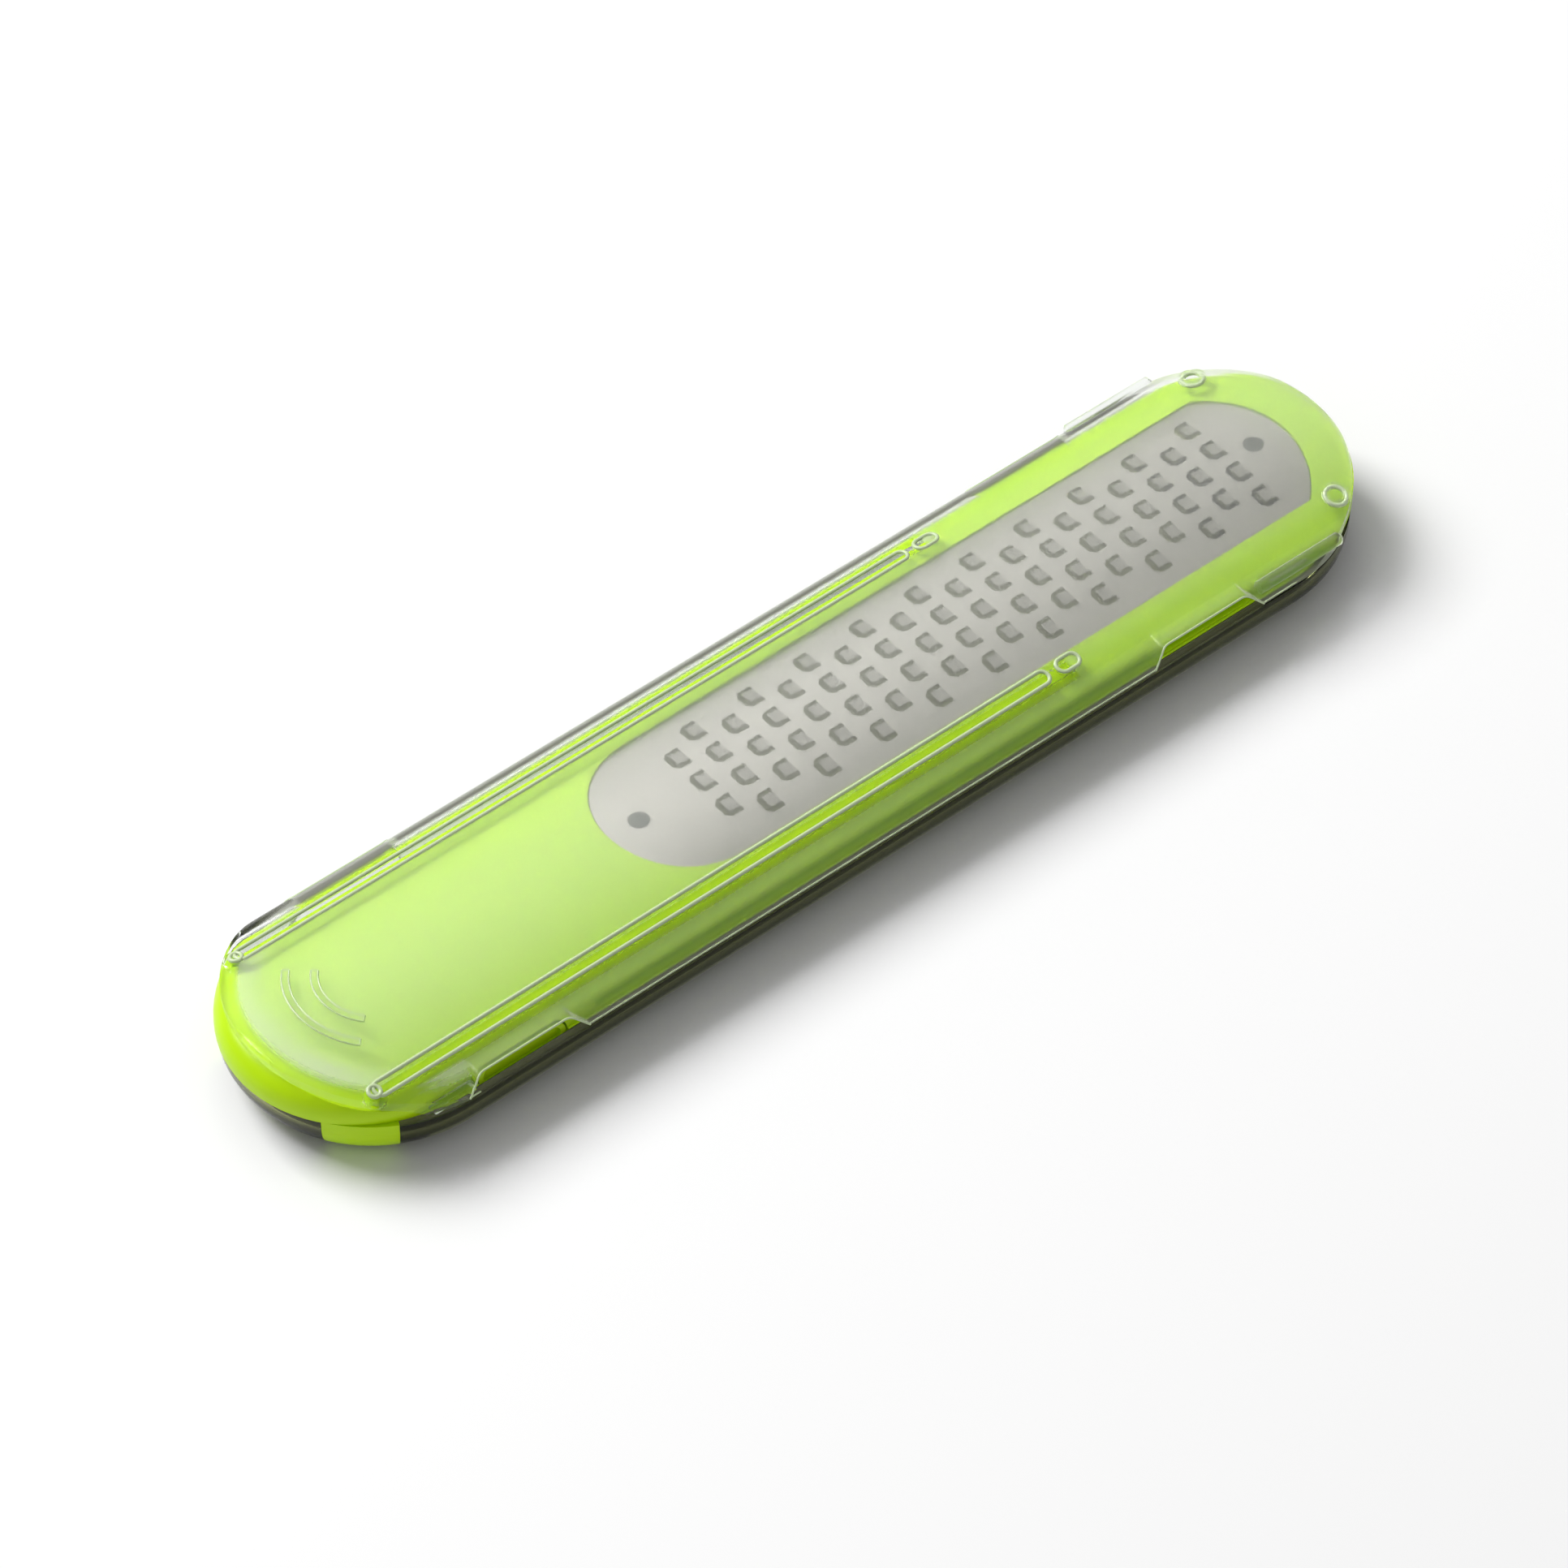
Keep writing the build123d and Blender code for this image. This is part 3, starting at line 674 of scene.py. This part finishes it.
class ZESTER_OT_frame(Operator):
    """Gives the moulded frame and the release buttons their lime plastic"""
    bl_idname = "zester.frame"
    bl_label = "Frame and buttons"

    def execute(self, context):
        _, _, colours, _ = settings()
        lime = plastic_material("lime_plastic", colours.lime, colours.lime_deep, 0.34)
        dress("body_frame", lime)
        for name in ("release_button_left", "release_button_right"):
            dress(name, lime)
        return {"FINISHED"}


class ZESTER_OT_blade(Operator):
    """Gives the blade its etched steel and the rivets their dull steel"""
    bl_idname = "zester.blade"
    bl_label = "Blade and rivets"

    def execute(self, context):
        _, _, colours, _ = settings()
        dress("blade", steel_material("etched_steel", colours.steel))
        rivet = steel_material("rivet_steel", colours.rivet)
        for name in ("blade_rivet_near", "blade_rivet_far"):
            dress(name, rivet)
        return {"FINISHED"}


class ZESTER_OT_tray(Operator):
    """Gives the tray its clear plastic, tinted dark olive: partly the plastic's green tint, partly painted
    shade
    """
    bl_idname = "zester.tray"
    bl_label = "Tray"

    def execute(self, context):
        _, _, colours, _ = settings()
        # The tray's dark olive is partly the plastic's tint, partly painted shade
        dress("bottom_cover", clear_material("clear_tray_plastic_painted_shade", colours.tray_tint_and_shade, 0.02, TRAY_SHADE))
        return {"FINISHED"}


class ZESTER_OT_cover(Operator):
    """Gives the sliding cover its frosted plastic, track ridges and rolled edges, the ridges and edges pale
    as a painted highlight
    """
    bl_idname = "zester.cover"
    bl_label = "Sliding cover"

    def execute(self, context):
        _, _, colours, trim = settings()
        dress("top_cover", frosted_material("frosted_cover_plastic", colours, trim))
        # The real ridges and rolled edges get a pale colour as a painted highlight
        painted_highlight_plastic = ridge_material("ridge_painted_highlight_plastic", colours.painted_ridge_highlight)
        half = trim.bead_spacing / 2
        sink = trim.bead_radius * BEAD_SINK
        for label, side in (("left", 1), ("right", -1)):
            loop = slot_loop(TRACK_NEAR_X, TRACK_RUN_END_X, half, side, sink)
            tube(f"track_ridge_{label}", loop, trim.bead_radius, True, painted_highlight_plastic)
            ends = (TRACK_POCKET_X - POCKET_HALF_LENGTH, TRACK_POCKET_X + POCKET_HALF_LENGTH)
            pocket = slot_loop(*ends, half, side, sink)
            tube(f"track_pocket_ring_{label}", pocket, trim.bead_radius, True, painted_highlight_plastic)
            cup = ring_loop(TRACK_NEAR_X, side * TRACK_Y, CUP_RADIUS / 2)
            tube(f"track_cup_ring_{label}", cup, trim.bead_radius, True, painted_highlight_plastic)
            boss = ring_loop(FAR_RING_X, side * TRACK_Y, FAR_RING_RADIUS)
            tube(f"far_boss_ring_{label}", boss, trim.bead_radius, True, painted_highlight_plastic)
            for place, centre_x in zip(("near", "far"), WINDOW_CENTRES):
                rim = window_rim(centre_x, side)
                tube(f"window_rim_{place}_{label}", rim, trim.rim_bead, False, painted_highlight_plastic)
            reach = WINDOW_HALF + WINDOW_SLOPE
            stops = (
                END_CENTRE_X, WINDOW_CENTRES[0] - reach, WINDOW_CENTRES[0] + reach,
                WINDOW_CENTRES[1] - reach, WINDOW_CENTRES[1] + reach, -END_CENTRE_X,
            )
            for place, start, stop in zip(("near", "middle", "far"), stops[::2], stops[1::2]):
                y = side * (wall_y(COVER_EDGE) - trim.lip_bead)
                z = COVER_EDGE + trim.lip_bead
                lip = [Vector((start, y, z)), Vector((stop, y, z))]
                tube(f"lower_lip_{place}_{label}", lip, trim.lip_bead, False, painted_highlight_plastic)
        for label, radius in zip(("outer", "inner"), MARK_RADII):
            mark = mark_loop(radius)
            tube(f"thumb_mark_{label}", mark, trim.mark_bead, True, painted_highlight_plastic)
        return {"FINISHED"}


class ZESTER_OT_stage(Operator):
    """Makes the floor, the lights, the surround and the camera"""
    bl_idname = "zester.stage"
    bl_label = "Stage"

    def execute(self, context):
        camera_set, light_set, _, _ = settings()
        scene = context.scene
        bpy.ops.mesh.primitive_plane_add(size=6.0, location=(0, 0, 0))
        floor = context.active_object
        floor.name = "studio_floor"
        floor.data.materials.append(floor_material("studio_paper", light_set.floor_colour))
        azimuth, elevation = camera_set.azimuth, camera_set.elevation
        back = Vector((
            sin(azimuth) * cos(elevation), -cos(azimuth) * cos(elevation), sin(elevation)
        ))
        right = Vector((cos(azimuth), sin(azimuth), 0))
        up = back.cross(right)
        data = bpy.data.cameras.new("photo_camera")
        data.sensor_width = 36.0
        data.lens = camera_set.lens
        data.clip_start = 0.05
        data.clip_end = 20.0
        camera = bpy.data.objects.new("photo_camera", data)
        scene.collection.objects.link(camera)
        aim = right * camera_set.aim_right + up * camera_set.aim_up + Vector((0, 0, camera_set.aim_height))
        camera.location = aim + back * camera_set.distance
        camera.rotation_mode = "QUATERNION"
        camera.rotation_quaternion = (-back).to_track_quat("-Z", "Y")
        scene.camera = camera
        self.light(scene, "key_light", KEY_PLACE, light_set.key_energy, light_set.key_size)
        self.light(scene, "soft_box", BOX_PLACE, light_set.box_energy, light_set.box_size)
        world = bpy.data.worlds.new("studio_surround")
        scene.world = world
        world.use_nodes = True
        surround = world.node_tree.nodes["Background"]
        surround.inputs["Color"].default_value = (1.0, 1.0, 1.0, 1.0)
        surround.inputs["Strength"].default_value = light_set.sky_strength
        scene.view_settings.view_transform = "Standard"
        return {"FINISHED"}

    def light(self, scene, name, place, energy, size):
        """A soft square light aimed at the tool."""
        data = bpy.data.lights.new(name, "AREA")
        data.shape = "SQUARE"
        data.size = size
        data.energy = energy
        lamp = bpy.data.objects.new(name, data)
        lamp.location = place
        lamp.rotation_mode = "QUATERNION"
        lamp.rotation_quaternion = (-Vector(place)).to_track_quat("-Z", "Y")
        scene.collection.objects.link(lamp)


class ZESTER_PT_sidebar(Panel):
    """Lists the zester's settings and steps in the sidebar"""
    bl_idname = "ZESTER_PT_sidebar"
    bl_label = "Rasp zester"
    bl_space_type = "VIEW_3D"
    bl_region_type = "UI"
    bl_category = "Zester"

    def draw(self, context):
        for group in settings():
            box = self.layout.box()
            for name in group.bl_rna.properties.keys():
                if name not in ("rna_type", "name"):
                    box.prop(group, name)
        for step in STEPS:
            self.layout.operator(step.bl_idname)


GROUPS = {
    "zester_camera": ZesterCameraSettings,
    "zester_light": ZesterLightSettings,
    "zester_colours": ZesterColourSettings,
    "zester_trim": ZesterTrimSettings,
}
STEPS = (ZESTER_OT_frame, ZESTER_OT_blade, ZESTER_OT_tray, ZESTER_OT_cover, ZESTER_OT_stage)


def register():
    """Registers the settings, steps and panel."""
    for name, group in GROUPS.items():
        bpy.utils.register_class(group)
        setattr(bpy.types.Scene, name, PointerProperty(type=group))
    for step in (*STEPS, ZESTER_PT_sidebar):
        bpy.utils.register_class(step)


def unregister():
    """Takes the settings, steps and panel out again."""
    for step in reversed((*STEPS, ZESTER_PT_sidebar)):
        bpy.utils.unregister_class(step)
    for name, group in reversed(list(GROUPS.items())):
        delattr(bpy.types.Scene, name)
        bpy.utils.unregister_class(group)


def main():
    """Dresses the zester."""
    register()
    bpy.ops.zester.frame()
    bpy.ops.zester.blade()
    bpy.ops.zester.tray()
    bpy.ops.zester.cover()
    bpy.ops.zester.stage()


if __name__ == "__main__":
    main()
